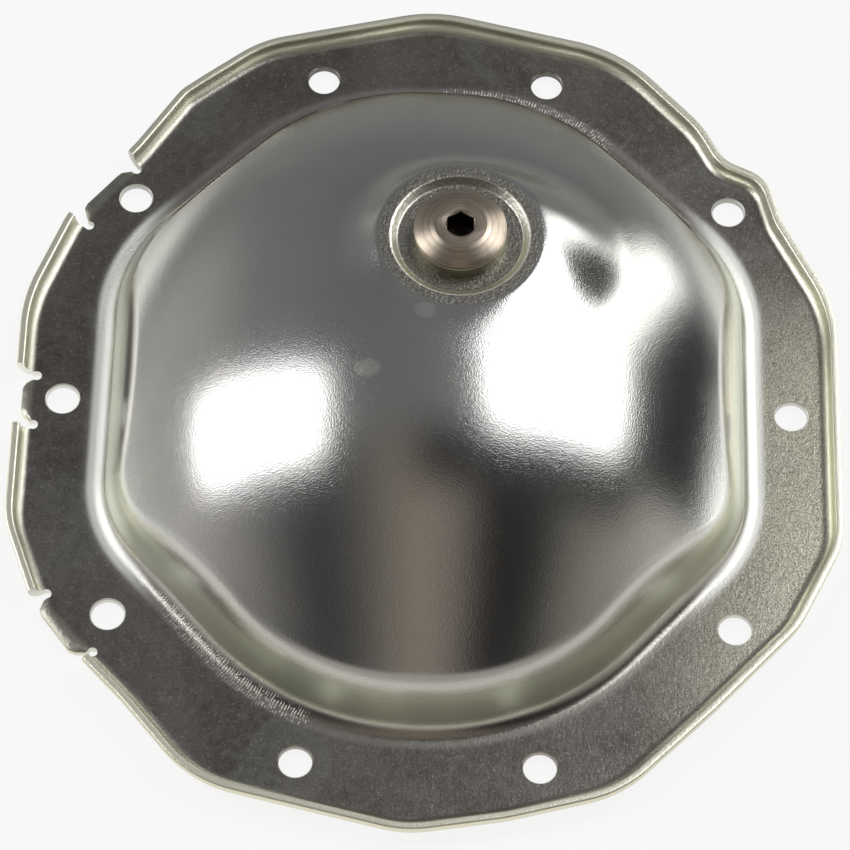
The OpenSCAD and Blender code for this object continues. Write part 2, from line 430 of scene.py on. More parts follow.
        flange = n.mix(n.ramp(cloud, 0.3, 0.7), self.flange, (0.17, 0.158, 0.142, 1.0))
        flange = n.mix(n.math("MULTIPLY", n.ramp(drawn, 0.35, 0.75), 0.6), flange,
                       (0.30, 0.285, 0.265, 1.0))
        flange = n.mix(n.math("MULTIPLY", stain, 0.30), flange, (0.36, 0.365, 0.36, 1.0))
        flange = n.mix(n.math("MULTIPLY", speck, 0.50), flange, (0.46, 0.44, 0.41, 1.0))
        flange = n.mix(n.math("MULTIPLY", n.ramp(grain, 0.50, 0.30), 0.5), flange,
                       (0.10, 0.09, 0.08, 1.0))
        flange = n.mix(n.math("MULTIPLY", scratch, 0.30), flange, (0.55, 0.53, 0.50, 1.0))
        dome = n.mix(n.ramp(cloud, 0.35, 0.7), self.dome, (0.53, 0.53, 0.53, 1.0))
        dome = n.mix(n.math("MULTIPLY", speck, 0.20), dome, (0.78, 0.77, 0.74, 1.0))
        dome = n.mix(n.math("MULTIPLY", dried, 0.3), dome, (0.80, 0.83, 0.78, 1.0))
        seat = n.mix(n.ramp(grain, 0.48, 0.66), (0.17, 0.16, 0.135, 1.0), (0.40, 0.39, 0.35, 1.0))
        dome = n.mix(n.math("MULTIPLY", on_seat, 0.9), dome, seat)
        # A pale yellow patch on the lower right of the flange, broken up by grain: a painted highlight.
        flange_highlight = n.math("MULTIPLY", n.ramp(where.outputs[0], 0.05, 0.11),
                       n.ramp(where.outputs[1], 0.06, 0.0))
        flange_highlight = n.math("MULTIPLY", flange_highlight, n.ramp(grain, 0.32, 0.68, 0.16, 0.72))
        flange = n.mix(flange_highlight, flange, (0.84, 0.82, 0.64, 1.0))
        # Painted highlight on the inner bend of the turned edge.
        flange = n.mix(bend_highlight, flange, (0.62, 0.61, 0.52, 1.0))
        colour = n.mix(on_dome, flange, dome)
        # The dome's wall band is painted a pale green-white: a painted highlight of the wall's bright
        # bands.
        colour = n.mix(wall, colour, (0.78, 0.81, 0.70, 1.0))
        # At the foot, the left and right sides are painted near white as a painted highlight of the
        # softboxes on the fillet; elsewhere the foot is a plain grey.
        colour = n.mix(foot, colour, n.mix(sides, (0.42, 0.40, 0.37, 1.0), (0.98, 0.98, 0.95, 1.0)))
        colour = n.mix(n.math("MULTIPLY", ticks, 0.7), colour, (0.92, 0.91, 0.86, 1.0))
        colour = n.mix(bevel_highlight, colour, (0.98, 0.96, 0.87, 1.0))
        # The lip takes the near-white lip colour: its own yellowish tint plus a painted highlight.
        colour = n.mix(on_lip, colour, self.lip)

        rough_flange = n.math("ADD", self.flange_roughness,
                              n.math("MULTIPLY", n.math("SUBTRACT", drawn, 0.5), 0.16))
        rough_dome = n.math("ADD", self.dome_roughness, n.math("MULTIPLY", dried, 0.18))
        rough = n.blend(on_dome, rough_flange, rough_dome)
        rough = n.blend(on_seat, rough, self.seat_roughness)
        rough = n.blend(wall, rough, 0.36)
        rough = n.blend(shiny, rough, 0.50)
        rough = n.blend(ticks, rough, 0.55)
        rough = n.blend(on_lip, rough, 0.36)

        pull = n.noise(n.mapped(place, scale=(1.0, 0.6, 1.0)), 1100.0, 2.0, 0.7)
        normal = n.bump(grain, 0.00004, n.blend(on_dome, 0.9, 0.85))
        normal = n.bump(pull, 0.0001, n.blend(on_dome, 0.5, 0.10), normal)
        normal = n.bump(pull, 0.00022, n.math("MULTIPLY", on_seat, 0.8), normal)
        normal = n.bump(n.noise(place, 300.0, 2.0), 0.0003, 0.04, normal)
        normal = n.bump(n.noise(place, 26.0, 1.0), 0.0015, 0.08, normal)
        normal = n.bump(ticks, 0.00012, 0.5, normal)

        shader = n.add("ShaderNodeBsdfPrincipled")
        shader.inputs["Metallic"].default_value = 1.0
        n.plug(colour, shader.inputs["Base Color"])
        n.plug(rough, shader.inputs["Roughness"])
        n.plug(normal, shader.inputs["Normal"])
        n.plug(shader.outputs[0], n.output.inputs[0])
        return n.owner


@dataclass(frozen=True)
class TurnedMetal:
    """Metal off a lathe: fine rings round its axis and a little dirt."""

    colour: tuple = (0.56, 0.485, 0.40, 1.0)
    shade: tuple = (0.32, 0.27, 0.22, 1.0)
    roughness: float = 0.22
    ring_mm: float = 0.30
    ring_depth: float = 0.00002
    # Radius and height below which the socket's inside is painted near black as painted shade.
    socket_shade_r: float = 0.0
    socket_shade_z: float = 0.0

    def build(self, name: str, axis: tuple[float, float]) -> bpy.types.Material:
        """Makes the material.

        Args:
            name: The material's name.
            axis: Where the lathe's axis stands, in millimetres.

        Returns:
            The material.
        """
        n = Nodes(bpy.data.materials.new(name))
        place = n.add("ShaderNodeTexCoord").outputs["Object"]
        centred = n.mapped(place, (-axis[0] * MM, -axis[1] * MM, 0.0), scale=(1.0, 1.0, 0.0))
        length = n.add("ShaderNodeVectorMath", operation="LENGTH")
        n.plug(centred, length.inputs[0])
        radius = length.outputs["Value"]
        uneven = n.noise(place, 160.0, 2.0)
        turns = n.math("MULTIPLY", radius, 2.0 * math.pi / (self.ring_mm * MM))
        rings = n.math("SINE", n.math("ADD", turns, n.math("MULTIPLY", uneven, 1.6)))
        rings = n.math("MULTIPLY_ADD", rings, 0.5, 0.5)
        ray = n.add("ShaderNodeCombineXYZ")
        n.plug(radius, ray.inputs[0])
        coarse = n.noise(ray.outputs[0], 1300.0, 4.0, 0.7)
        dirt = n.ramp(n.noise(place, 420.0, 3.0, 0.6), 0.52, 0.72)
        colour = n.mix(n.ramp(coarse, 0.35, 0.65), self.colour, self.shade)
        colour = n.mix(n.math("MULTIPLY", dirt, 0.35), colour, (0.26, 0.22, 0.18, 1.0))
        rough = n.math("ADD", self.roughness, n.math("MULTIPLY", coarse, 0.18))
        at = n.add("ShaderNodeSeparateXYZ")
        n.plug(place, at.inputs[0])
        # Painted shade: the socket's inside, under its rim, is darkened to near black and made rougher.
        socket_shade = n.math("MULTIPLY", n.ramp(radius, self.socket_shade_r * MM, self.socket_shade_r * MM - 0.0002),
                     n.ramp(at.outputs[2], self.socket_shade_z * MM, self.socket_shade_z * MM - 0.0008))
        colour = n.mix(socket_shade, colour, (0.035, 0.028, 0.022, 1.0))
        rough = n.blend(socket_shade, rough, 0.6)
        normal = n.bump(rings, self.ring_depth, 0.5)
        normal = n.bump(coarse, 0.00006, 0.6, normal)
        shader = n.add("ShaderNodeBsdfPrincipled")
        shader.inputs["Metallic"].default_value = 1.0
        n.plug(colour, shader.inputs["Base Color"])
        n.plug(rough, shader.inputs["Roughness"])
        n.plug(normal, shader.inputs["Normal"])
        n.plug(shader.outputs[0], n.output.inputs[0])
        return n.owner


@dataclass
class RoundedLoop:
    """A closed line of straight runs and round corners, counter-clockwise.

    Each corner is X, Y and radius. A negative turn is a hollow corner.
    """

    corners: tuple[tuple[float, float, float], ...]

    def trace(self, step: float = 0.25) -> tuple[np.ndarray, np.ndarray]:
        """Walks the line in small steps.

        Args:
            step: The length of a step.

        Returns:
            The points and their outward normals.
        """
        points, normals = [], []
        count = len(self.corners)
        for i in range(count):
            before, here, after = (np.array(self.corners[(i + k) % count][:2]) for k in (-1, 0, 1))
            radius = self.corners[i][2]
            into = (here - before) / np.linalg.norm(here - before)
            onward = (after - here) / np.linalg.norm(after - here)
            turn = math.atan2(into[0] * onward[1] - into[1] * onward[0], into @ onward)
            side = math.copysign(1.0, turn)
            start = here - into * radius * math.tan(abs(turn) / 2)
            first = np.array([into[1], -into[0]])
            centre = start - side * radius * first
            base = math.atan2(first[1], first[0])
            steps = max(3, int(radius * abs(turn) / step))
            for k in range(steps + 1):
                angle = base + turn * k / steps
                normal = np.array([math.cos(angle), math.sin(angle)])
                points.append(centre + side * radius * normal)
                normals.append(normal)
        points, normals = np.array(points), np.array(normals)
        dense_p, dense_n = [], []
        for a, b, na, nb in zip(points, np.roll(points, -1, 0), normals, np.roll(normals, -1, 0)):
            runs = max(1, int(np.linalg.norm(b - a) / step))
            t = np.arange(runs)[:, None] / runs
            dense_p.append(a + (b - a) * t)
            dense_n.append(na + (nb - na) * t)
        return np.concatenate(dense_p), np.concatenate(dense_n)

    def cast(self, angles: np.ndarray) -> tuple[np.ndarray, np.ndarray]:
        """Meets the line with rays from the origin.

        Args:
            angles: The rays' angles, in radians and rising.

        Returns:
            The points met and the outward normals there.
        """
        points, normals = self.trace()
        around = np.unwrap(np.arctan2(points[:, 1], points[:, 0]))
        around = np.concatenate([around - 2 * np.pi, around, around + 2 * np.pi])
        order = np.argsort(around)
        met = [np.interp(angles, around[order], np.tile(column, 3)[order])
               for column in (*points.T, *normals.T)]
        normal = np.stack(met[2:], 1)
        return np.stack(met[:2], 1), normal / np.linalg.norm(normal, axis=1, keepdims=True)


@dataclass
class PressedCover:
    """The pressed sheet: flange, turned-up edge, tabs, dome, pad and seat."""

    seat_z: float
    plug: np.ndarray
    sheet: float = 2.3
    lip_h: float = 6.5
    lip_r: float = 3.0
    bolt_r: float = 4.55
    crown_h: float = 50.0
    crown_r: float = 120.0
    crown_low: float = 3.0
    crown_blend: float = 10.0
    crown_long: float = 0.88
    wall_a: float = math.radians(69.5)
    foot_r: float = 5.2
    shoulder: float = 4.0
    pad_r: float = 22.6
    flare_w: float = 13.0
    flare_more: float = 12.0
    seat_depth: float = 1.6
    seat_r: float = 17.3
    seat_bevel: float = 1.7
    hole_r: float = 11.1
    notch_r: float = 1.4
    notch_w: float = 2.6
    bolts: tuple = ((32.6, 110.0), (85.2, 67.3), (101.9, 0.0))
    edge: RoundedLoop = field(default_factory=lambda: RoundedLoop((
        (115.3, 33.5, 45), (100.2, 62.6, 20), (96.3, 77.1, 12), (84, 82.8, 10),
        (78, 94.6, 34), (54.2, 120.4, 44), (-1, 133.3, 40), (-51.4, 121.2, 34),
        (-67, 108.8, 24), (-74, 103, 12), (-86, 84.2, 30), (-104.3, 59.6, 24),
        (-115.3, 30.5, 50), (-115.3, -40.5, 30), (-105, -68.4, 22), (-80, -94.6, 60),
        (-60.3, -118.1, 36), (-3, -131.5, 32), (24, -127, 60), (54.5, -118.8, 34),
        (79, -94, 60), (102.6, -68.1, 26), (115.3, -42, 26))))
    foot: RoundedLoop = field(default_factory=lambda: RoundedLoop((
        (92.4, 47.6, 48), (34.7, 106.5, 68), (-34.7, 106.5, 68), (-92.4, 47.6, 48),
        (-92.4, -41.2, 40), (-36, -104, 78), (36, -104, 78), (92.4, -41.2, 40))))
    tabs: tuple = (
        ((-85.6, 77.1), (-90.3, 76.2), (-100.0, 64.4), (-98.1, 57.6)),
        ((-109.6, 7.2), (-113.4, 4.4), (-113.4, -4.4), (-109.6, -8.6)),
        ((-102.2, -61.6), (-104.0, -66.8), (-94.6, -79.0), (-88.6, -79.0)))

    @property
    def pad_z(self) -> float:
        """Height of the pad's rim over the front face."""
        return self.seat_z + self.seat_depth - self.sheet

    def columns(self) -> np.ndarray:
        """Angles of the mesh's columns, closer together where the edge bends most.

        Returns:
            The angles, in radians and rising.
        """
        plain = np.linspace(0, 2 * np.pi, 420, endpoint=False)
        lobe = np.radians(np.linspace(30.0, 49.0, 70))
        slots = []
        for tab in self.tabs:
            for tip in (tab[0], tab[3]):
                angle = math.atan2(tip[1], tip[0]) % (2 * np.pi)
                half = self.notch_w / 2 / math.hypot(*tip)
                slots += [angle - 0.8 * half, angle + 0.8 * half]
        keep = [a for a in np.concatenate([plain, lobe])
                if min(abs(a - s) for s in slots) > 0.004]
        return np.sort(np.array(keep + slots))

    def crown(self, p: np.ndarray, t: float) -> np.ndarray:
        """Height of the crown over the front face, for a skin t deeper."""
        ball = self.crown_h - self.crown_r + np.sqrt(
            (self.crown_r - t) ** 2 - p[:, 0] ** 2 - (self.crown_long * p[:, 1]) ** 2)
        low = self.crown_low - t
        h = np.maximum(self.crown_blend - np.abs(ball - low), 0) / self.crown_blend
        return np.maximum(ball, low) + h * h * self.crown_blend / 4

    def dome(self, p: np.ndarray, d: float, t: float) -> np.ndarray:
        """Height of the bare dome, d inside the foot line.

        Args:
            p: The points.
            d: Their distance inside the foot line.
            t: How far under the front skin they lie.

        Returns:
            The heights over the front face.
        """
        r = self.foot_r + t
        x = r * math.sin(self.wall_a)
        if d < x:
            wall = self.foot_r - math.sqrt(r * r - d * d)
        else:
            wall = self.foot_r - r * math.cos(self.wall_a) + (d - x) * math.tan(self.wall_a)
        crown = self.crown(p, t)
        blend = self.shoulder * min(1.0, (d + 0.5) / 6)
        h = np.maximum(blend - np.abs(crown - wall), 0) / blend
        return np.minimum(crown, wall) - h * h * blend / 4

    def flare(self, p: np.ndarray, q: float, t: float, lean: np.ndarray) -> np.ndarray:
        """Height of the flare round the pad.

        Args:
            p: The points.
            q: The share of the flare's width that they lie out, from 0 to 1.
            t: How far under the front skin they lie.
            lean: 1 where the flare runs out longest, towards the right.

        Returns:
            The heights over the front face.
        """
        soft = 0.05
        eased = (math.sqrt(q * q + soft * soft) - soft) / (math.sqrt(1 + soft * soft) - soft)
        crown = self.crown(p, t)
        return crown + (self.pad_z - t - crown) * (1 - eased) ** (2.6 - 0.9 * lean)

    def skin(self, foot: tuple, side: Side) -> list[tuple[np.ndarray, np.ndarray, float]]:
        """Rows of one skin of the dome, from the pad's rim out to the foot.

        Args:
            foot: The foot line's points and normals.
            side: Which skin it is.

        Returns:
            For each row its points, heights, and distance inside the foot line.
        """
        t = self.sheet * side.value
        fine = 1.0 if side is Side.FRONT else 0.6
        points, normals = foot
        rim = [*np.linspace(13.6, 6.0, int(16 * fine)), *np.linspace(5.7, 0.0, int(20 * fine))]
        rim = [d * (1 + t / 14) for d in rim]
        toward = points - self.plug
        toward = toward / np.linalg.norm(toward, axis=1, keepdims=True)
        radius = self.pad_r - t * 0.45
        lean = np.clip(toward @ np.array([0.98, 0.10]), 0.0, 1.0) ** 2
        wide = self.flare_w + self.flare_more * lean
        rows = []
        for q in np.linspace(0, 1, int(26 * fine)) ** 1.35:
            p = self.plug + (radius + q * wide)[:, None] * toward
            rows.append((p, self.sheet + self.flare(p, q, t, lean), 30.0))
        inner = self.plug + (radius + wide)[:, None] * toward
        outer = points - rim[0] * normals
        for u in np.linspace(0, 1, int(22 * fine))[1:-1]:
            p = inner + u * (outer - inner)
            rows.append((p, self.sheet + self.crown(p, t), 20.0))
        for d in rim:
            p = points - d * normals
            rows.append((p, self.sheet + self.dome(p, d, t), d))
        return rows

    def seat(self, toward: np.ndarray) -> list[tuple[np.ndarray, np.ndarray, float]]:
        """Rows of the hole's wall, the seat, its bevel and the pad's rim.

        Args:
            toward: Unit vectors from the plug's axis to each column.

        Returns:
            For each row its points, heights, and distance inside the foot line.
        """
        top = self.seat_z + self.seat_depth
        lip = self.seat_r + self.seat_bevel
        profile = [
            (self.pad_r - 1.7, top - self.sheet), (lip + 0.7, top - self.sheet),
            (lip + 0.35, top - self.sheet - 0.1), (self.seat_r + 0.6, self.seat_z - self.sheet + 0.1),
            (self.seat_r + 0.2, self.seat_z - self.sheet), (self.hole_r + 0.3, self.seat_z - self.sheet),
            (self.hole_r, self.seat_z - self.sheet + 0.3), (self.hole_r, self.seat_z - 0.3),
            (self.hole_r + 0.3, self.seat_z), (14.0, self.seat_z), (16.6, self.seat_z),
            (self.seat_r - 0.35, self.seat_z), (self.seat_r - 0.05, self.seat_z + 0.08),
            (self.seat_r + 0.2, self.seat_z + 0.26), (lip - 0.35, top - 0.3),
            (lip - 0.1, top - 0.1), (lip + 0.2, top - 0.02), (lip + 0.55, top),
            (lip + 1.4, top), (self.pad_r - 0.6, top)]
        return [(self.plug + r * toward, np.full(len(toward), z),
                 50.0 if self.seat_r - 0.1 < r < lip + 0.3 and z > self.seat_z else 40.0)
                for r, z in profile]

    def tab_reach(self, angles: np.ndarray) -> np.ndarray:
        """How far out from the origin the flat tabs reach.

        Args:
            angles: The columns' angles.

        Returns:
            The distance along each column, 0 where there is no tab.
        """
        reach = np.zeros(len(angles))
        for tab in self.tabs:
            tips = sorted(math.atan2(tip[1], tip[0]) % (2 * np.pi) for tip in (tab[0], tab[3]))
            inside = (angles > tips[0]) & (angles < tips[1])
            for k in np.nonzero(inside)[0]:
                ray = np.array([math.cos(angles[k]), math.sin(angles[k])])
                for a, b in zip(tab[:-1], tab[1:]):
                    a, b = np.array(a), np.array(b)
                    grid = np.array([ray, a - b]).T
                    if abs(np.linalg.det(grid)) < 1e-9:
                        continue
                    far, share = np.linalg.solve(grid, a)
                    if -1e-6 <= share <= 1 + 1e-6:
                        reach[k] = max(reach[k], far)
        return reach

    def turned_edge(self, angles: np.ndarray) -> list[tuple[np.ndarray, np.ndarray, float]]:
        """Rows of flat flange, bend and edge, from the foot out and back again.

        Args:
            angles: The columns' angles.

        Returns:
            For each row its points, heights, and distance inside the foot line.
        """
        points, normals = self.edge.cast(angles)
        points = points - 0.12 * normals
        reach = self.tab_reach(angles)
        on_tab = reach > 0
        ray = np.stack([np.cos(angles), np.sin(angles)], 1)
        start = self.lip_r + self.sheet
        ease = 0.55
        bend = np.radians(np.linspace(0, 90, 10))
        lip = [(self.sheet + self.lip_r * (1 - math.sin(g)),
                self.sheet + self.lip_r * (1 - math.cos(g))) for g in bend]
        lip += [(self.sheet, self.lip_h - ease)]
        lip += [(self.sheet - ease * (1 - math.cos(g)), self.lip_h - ease * (1 - math.sin(g)))
                for g in bend[3::2]]
        lip += [(ease * (1 - math.sin(g)), self.lip_h - ease * (1 - math.cos(g)))
                for g in bend[0::2]][:4]
        lip += [(start * (1 - math.sin(g)), start * (1 - math.cos(g))) for g in bend[::-1]]

        soft = 0.35
        droop = 0.4
        corner = [(soft * (math.sin(g) - 1), soft * (1 - math.cos(g))) for g in bend[2::2]]
        level = [(k / 9, -soft * k / 9, self.sheet - droop * (k / 9) ** 3) for k in range(10)]
        side = [(1.0, out, self.sheet - droop - z) for out, z in corner]
        side += [(1.0, out, z) for out, z in corner[::-1]]
        while len(side) < len(lip) - 2 * len(level):
            side.insert(len(corner), (1.0, 0.0, (self.sheet - droop) / 2))
        flat = level + side + [(share, out, 0.0) for share, out, _ in level[::-1]]

        rows = []
        inner = points - start * normals
        for (inset, z), (share, out, flat_z) in zip(lip, flat):
            turned = points - inset * normals
            level_p = inner + (ray * reach[:, None] - inner) * share + ray * out
            p = np.where(on_tab[:, None], level_p, turned)
            rows.append((p, np.where(on_tab, flat_z, z), -8.0 - 11.0 * (start - inset) / start))
        for out in (0.6, 2.0):
            p = points - (start + out) * normals
            rows.insert(0, (p, np.full(len(angles), self.sheet), -6.0))
            rows.append((p, np.zeros(len(angles)), -6.0))
        return rows

    def bolt_cutter(self, x: float, y: float) -> bpy.types.Object:
        """A drill with a small countersink at both faces.

        Args:
            x: The hole's place across.
            y: The hole's place along.

        Returns:
            The cutter.
        """
        deselect_all()
        ease = 0.35
        bpy.ops.mesh.primitive_cylinder_add(
            vertices=64, radius=self.bolt_r * MM, depth=(self.sheet - 2 * ease) * MM,
            location=(x * MM, y * MM, self.sheet / 2 * MM))
        drill = bpy.context.object
        settle(drill)
        wide = (self.bolt_r + ease) / self.bolt_r
        for up in (1, -1):
            pick_faces(drill, lambda face: face.normal.z * up > 0.9)
            bpy.ops.mesh.extrude_region_move(
                TRANSFORM_OT_translate={"value": (0, 0, up * ease * MM)})
            bpy.ops.transform.resize(value=(wide, wide, 1), center_override=(x * MM, y * MM, 0))
            bpy.ops.mesh.extrude_region_move(TRANSFORM_OT_translate={"value": (0, 0, up * MM)})
            bpy.ops.object.mode_set(mode="OBJECT")
        return drill

    def notch_cutter(self, tip: tuple[float, float]) -> bpy.types.Object:
        """A slot with a round end, from the notch's tip out past the edge.

        Args:
            tip: The centre of the notch's round end.

        Returns:
            The cutter.
        """
        deselect_all()
        bpy.ops.mesh.primitive_cylinder_add(
            vertices=48, radius=self.notch_r * MM, depth=18 * MM,
            location=(tip[0] * MM, tip[1] * MM, 4 * MM))
        end = bpy.context.object
        settle(end)
        angle = math.atan2(tip[1], tip[0])
        reach = 7.0
        bpy.ops.mesh.primitive_cube_add(
            size=1, location=((tip[0] + reach * math.cos(angle)) * MM,
                              (tip[1] + reach * math.sin(angle)) * MM, 4 * MM),
            rotation=(0, 0, angle), scale=(2 * reach * MM, self.notch_w * MM, 17 * MM))
        slot = bpy.context.object
        settle(slot)
        apply_modifier(end, "BOOLEAN", object=slot, operation="UNION", solver="MANIFOLD")
        bpy.data.objects.remove(slot, do_unlink=True)
        return end

    def build(self) -> bpy.types.Object:
        """Makes the sheet as one closed skin and cuts its holes and notches.

        Returns:
            The finished mesh object.
        """
        angles = self.columns()
        foot = self.foot.cast(angles)
        toward = foot[0] - self.plug
        toward = toward / np.linalg.norm(toward, axis=1, keepdims=True)
        flat = [(foot[0] + out * foot[1], np.full(len(angles), self.sheet), -out)
                for out in (0.6, 2.0)]
        flat_back = [(foot[0] + out * foot[1], np.zeros(len(angles)), -out) for out in (2.0, 0.6)]
        rows = (self.seat(toward) + self.skin(foot, Side.FRONT) + flat
                + self.turned_edge(angles) + flat_back + self.skin(foot, Side.BACK)[::-1])
        count, wide = len(rows), len(angles)
        co = np.concatenate([np.column_stack([p, z]) for p, z, _ in rows]) * MM
        k, i = np.meshgrid(np.arange(count), np.arange(wide), indexing="ij")
        k2, i2 = (k + 1) % count, (i + 1) % wide
        faces = np.stack([k * wide + i, k2 * wide + i, k2 * wide + i2, k * wide + i2], -1)
        mesh = bpy.data.meshes.new("pressed_cover")
        mesh.from_pydata(co.tolist(), [], faces.reshape(-1, 4).tolist())
        along = np.concatenate([[0.0], np.cumsum(np.linalg.norm(
            np.diff(foot[0], axis=0, append=foot[0][:1]), axis=1))]) / 100.0
        inward = np.array([row[2] for row in rows]) / 10.0
        uv = np.empty((count, wide, 4, 2))
        uv[..., 0, 0] = uv[..., 1, 0] = along[:-1]
        uv[..., 2, 0] = uv[..., 3, 0] = along[1:]
        uv[..., 0, 1] = uv[..., 3, 1] = inward[:, None]
        uv[..., 1, 1] = uv[..., 2, 1] = np.roll(inward, -1)[:, None]
        layer = mesh.uv_layers.new(name="press")
        layer.data.foreach_set("uv", uv.ravel())
        sheet = bpy.data.objects.new("pressed_cover", mesh)
        bpy.context.collection.objects.link(sheet)
        make_active(sheet)
        bpy.ops.object.mode_set(mode="EDIT")
        bpy.ops.mesh.select_all(action="SELECT")
        bpy.ops.mesh.normals_make_consistent(inside=False)
        bpy.ops.object.mode_set(mode="OBJECT")
        LOG.info("sheet skin: %d rows of %d columns", count, wide)

        cutters = [self.bolt_cutter(sx * x, sy * y) for x, y in self.bolts
                   for sx in (1, -1) for sy in ((1, -1) if y else (1,))]
        cutters += [self.notch_cutter(tip) for tab in self.tabs for tip in (tab[0], tab[3])]
        cut_away(sheet, join(cutters, "cutters"))
        smooth(sheet, 32.0)
        return sheet


@dataclass
class FillBoss:
    """The threaded boss on the pad's seat."""

    centre: np.ndarray
    seat_z: float
    head_r: float = 12.65
    height: float = 4.0
    shank_r: float = 11.0
    shank_l: float = 11.0
    bore_r: float = 9.1

    def build(self) -> bpy.types.Object:
        """Turns the boss from a ring and drills it.

        Returns:
            The finished mesh object.
        """
        x, y = self.centre
        deselect_all()
        bpy.ops.mesh.primitive_cylinder_add(
            vertices=128, radius=self.shank_r * MM, depth=self.shank_l * MM,
            location=(x * MM, y * MM, (self.seat_z - self.shank_l / 2) * MM))
        boss = bpy.context.object
        settle(boss)
        pick_faces(boss, lambda face: face.normal.z > 0.9)
        centre = (x * MM, y * MM, 0)
        grow = self.head_r / self.shank_r
        bpy.ops.mesh.extrude_region_move(TRANSFORM_OT_translate={"value": (0, 0, 0)})
        bpy.ops.transform.resize(value=(grow, grow, 1), center_override=centre)
        bpy.ops.mesh.extrude_region_move(
            TRANSFORM_OT_translate={"value": (0, 0, self.height * MM)})
        bpy.ops.object.mode_set(mode="OBJECT")
        bpy.ops.mesh.primitive_cylinder_add(
            vertices=128, radius=self.bore_r * MM, depth=40 * MM,
            location=(x * MM, y * MM, self.seat_z * MM))
        bore = bpy.context.object
        settle(bore)
        cut_away(boss, bore)
        apply_modifier(boss, "BEVEL", width=0.3 * MM, segments=3, limit_method="ANGLE",
                       angle_limit=math.radians(50))
        smooth(boss, 40.0)
        boss.name = "boss_ring"
        return boss


@dataclass
class FillPlug:
    """The turned plug: conical head, hexagon socket and thread."""

    centre: np.ndarray
    under_head: float
    top: float
    bottom: float
    head_r: float = 12.65
    rim_h: float = 1.2
    land_r: float = 7.3
    thread_r: float = 9.0
    pitch: float = 1.5
    thread_depth: float = 0.85
    hex_af: float = 7.2
    hex_depth: float = 6.5

    def grow(self, plug: bpy.types.Object, radius: float, rise: float, now: float) -> float:
        """Extrudes the selected end face upwards and brings it to a new radius.

        Args:
            plug: The object in edit mode; not used.
            radius: The new radius.
            rise: How far the end moves up.
            now: The radius it has.

        Returns:
            The new radius.
        """
        share = radius / now
        bpy.ops.mesh.extrude_region_move(TRANSFORM_OT_translate={"value": (0, 0, rise * MM)})
        bpy.ops.transform.resize(
            value=(share, share, 1),
            center_override=(self.centre[0] * MM, self.centre[1] * MM, 0))
        return radius

    def body(self) -> bpy.types.Object:
        """Turns the plug's body upwards from the tip of its thread.

        Returns:
            The body, with its socket still to be cut.
        """
        x, y = self.centre
        core = self.thread_r - self.thread_depth
        deselect_all()
        bpy.ops.mesh.primitive_cylinder_add(
            vertices=128, radius=(core - 0.4) * MM, depth=0.2 * MM,
            location=(x * MM, y * MM, (self.bottom + 0.1) * MM))
        plug = bpy.context.object
        settle(plug)
        pick_faces(plug, lambda face: face.normal.z > 0.9)
        now = self.grow(plug, core, 0.8, core - 0.4)
        neck = self.under_head - self.bottom - 1.0
        now = self.grow(plug, core, neck, now)
        now = self.grow(plug, self.head_r - 1.2, 0.0, now)
        now = self.grow(plug, self.head_r, 0.5, now)
        now = self.grow(plug, self.head_r, self.rim_h - 0.5, now)
        cone = self.top - self.under_head - self.rim_h
        for share in (0.33, 0.66, 1.0):
            radius = self.head_r + (self.land_r - self.head_r) * share
            now = self.grow(plug, radius, cone / 3, now)
        bpy.ops.object.mode_set(mode="OBJECT")
        return plug

    def socket(self) -> bpy.types.Object:
        """A hexagon bit with a cone over it, for the socket and its chamfer.

        Returns:
            The cutter.
        """
        x, y = self.centre
        deselect_all()
        bpy.ops.mesh.primitive_cylinder_add(
            vertices=6, radius=self.hex_af / math.sqrt(3) * MM, depth=(self.hex_depth + 2) * MM,
            location=(x * MM, y * MM, (self.top - self.hex_depth / 2 + 1) * MM))
        bit = bpy.context.object
        settle(bit)
        bpy.ops.mesh.primitive_cone_add(
            vertices=96, radius1=self.hex_af / 2 * MM, radius2=(self.hex_af / 2 + 1.5) * MM,
            depth=1.5 * MM, location=(x * MM, y * MM, (self.top + 0.2) * MM))
        cone = bpy.context.object
        settle(cone)
        apply_modifier(bit, "BOOLEAN", object=cone, operation="UNION", solver="MANIFOLD")
        bpy.data.objects.remove(cone, do_unlink=True)
        return bit

    def thread(self) -> bpy.types.Object:
        """Winds one three-sided rib round the shank.

        Returns:
            The thread.
        """
        x, y = self.centre
        low = self.bottom + 1.2
        turns = int((self.under_head - low - 1.0) / self.pitch)
        deselect_all()
        bpy.ops.mesh.primitive_circle_add(
            vertices=3, radius=self.pitch * 0.58 * MM, fill_type="NOTHING",
            location=((self.thread_r - self.pitch * 0.58) * MM, 0, 0),
            rotation=(math.pi / 2, 0, 0))
        rib = bpy.context.object
        settle(rib)
        xs = [v.co.x for v in rib.data.vertices]
        shift = self.thread_r * MM - max(xs)
        for v in rib.data.vertices:
            v.co.x += shift
        apply_modifier(rib, "SCREW", screw_offset=self.pitch * MM, iterations=turns,
                       steps=64, render_steps=64, axis="Z")
        rib.location = (x * MM, y * MM, low * MM)
        settle(rib)
        make_active(rib)
        bpy.ops.object.mode_set(mode="EDIT")
        bpy.ops.mesh.select_all(action="SELECT")
        bpy.ops.mesh.remove_doubles(threshold=1e-6)
        bpy.ops.mesh.select_mode(type="VERT")
        bpy.ops.mesh.select_all(action="DESELECT")
        bpy.ops.mesh.select_non_manifold()
        bpy.ops.mesh.edge_face_add()
        bpy.ops.mesh.select_all(action="SELECT")
        bpy.ops.mesh.normals_make_consistent(inside=False)
        bpy.ops.object.mode_set(mode="OBJECT")
        return rib

    def build(self) -> bpy.types.Object:
        """Turns the plug, cuts its socket and winds its thread.

        Returns:
            The finished mesh object.
        """
        plug = self.body()
        cut_away(plug, self.socket())
        apply_modifier(plug, "BEVEL", width=0.14 * MM, segments=2, limit_method="ANGLE",
                       angle_limit=math.radians(20))
        plug = join([plug, self.thread()], "turned_plug")
        smooth(plug, 35.0)
        return plug


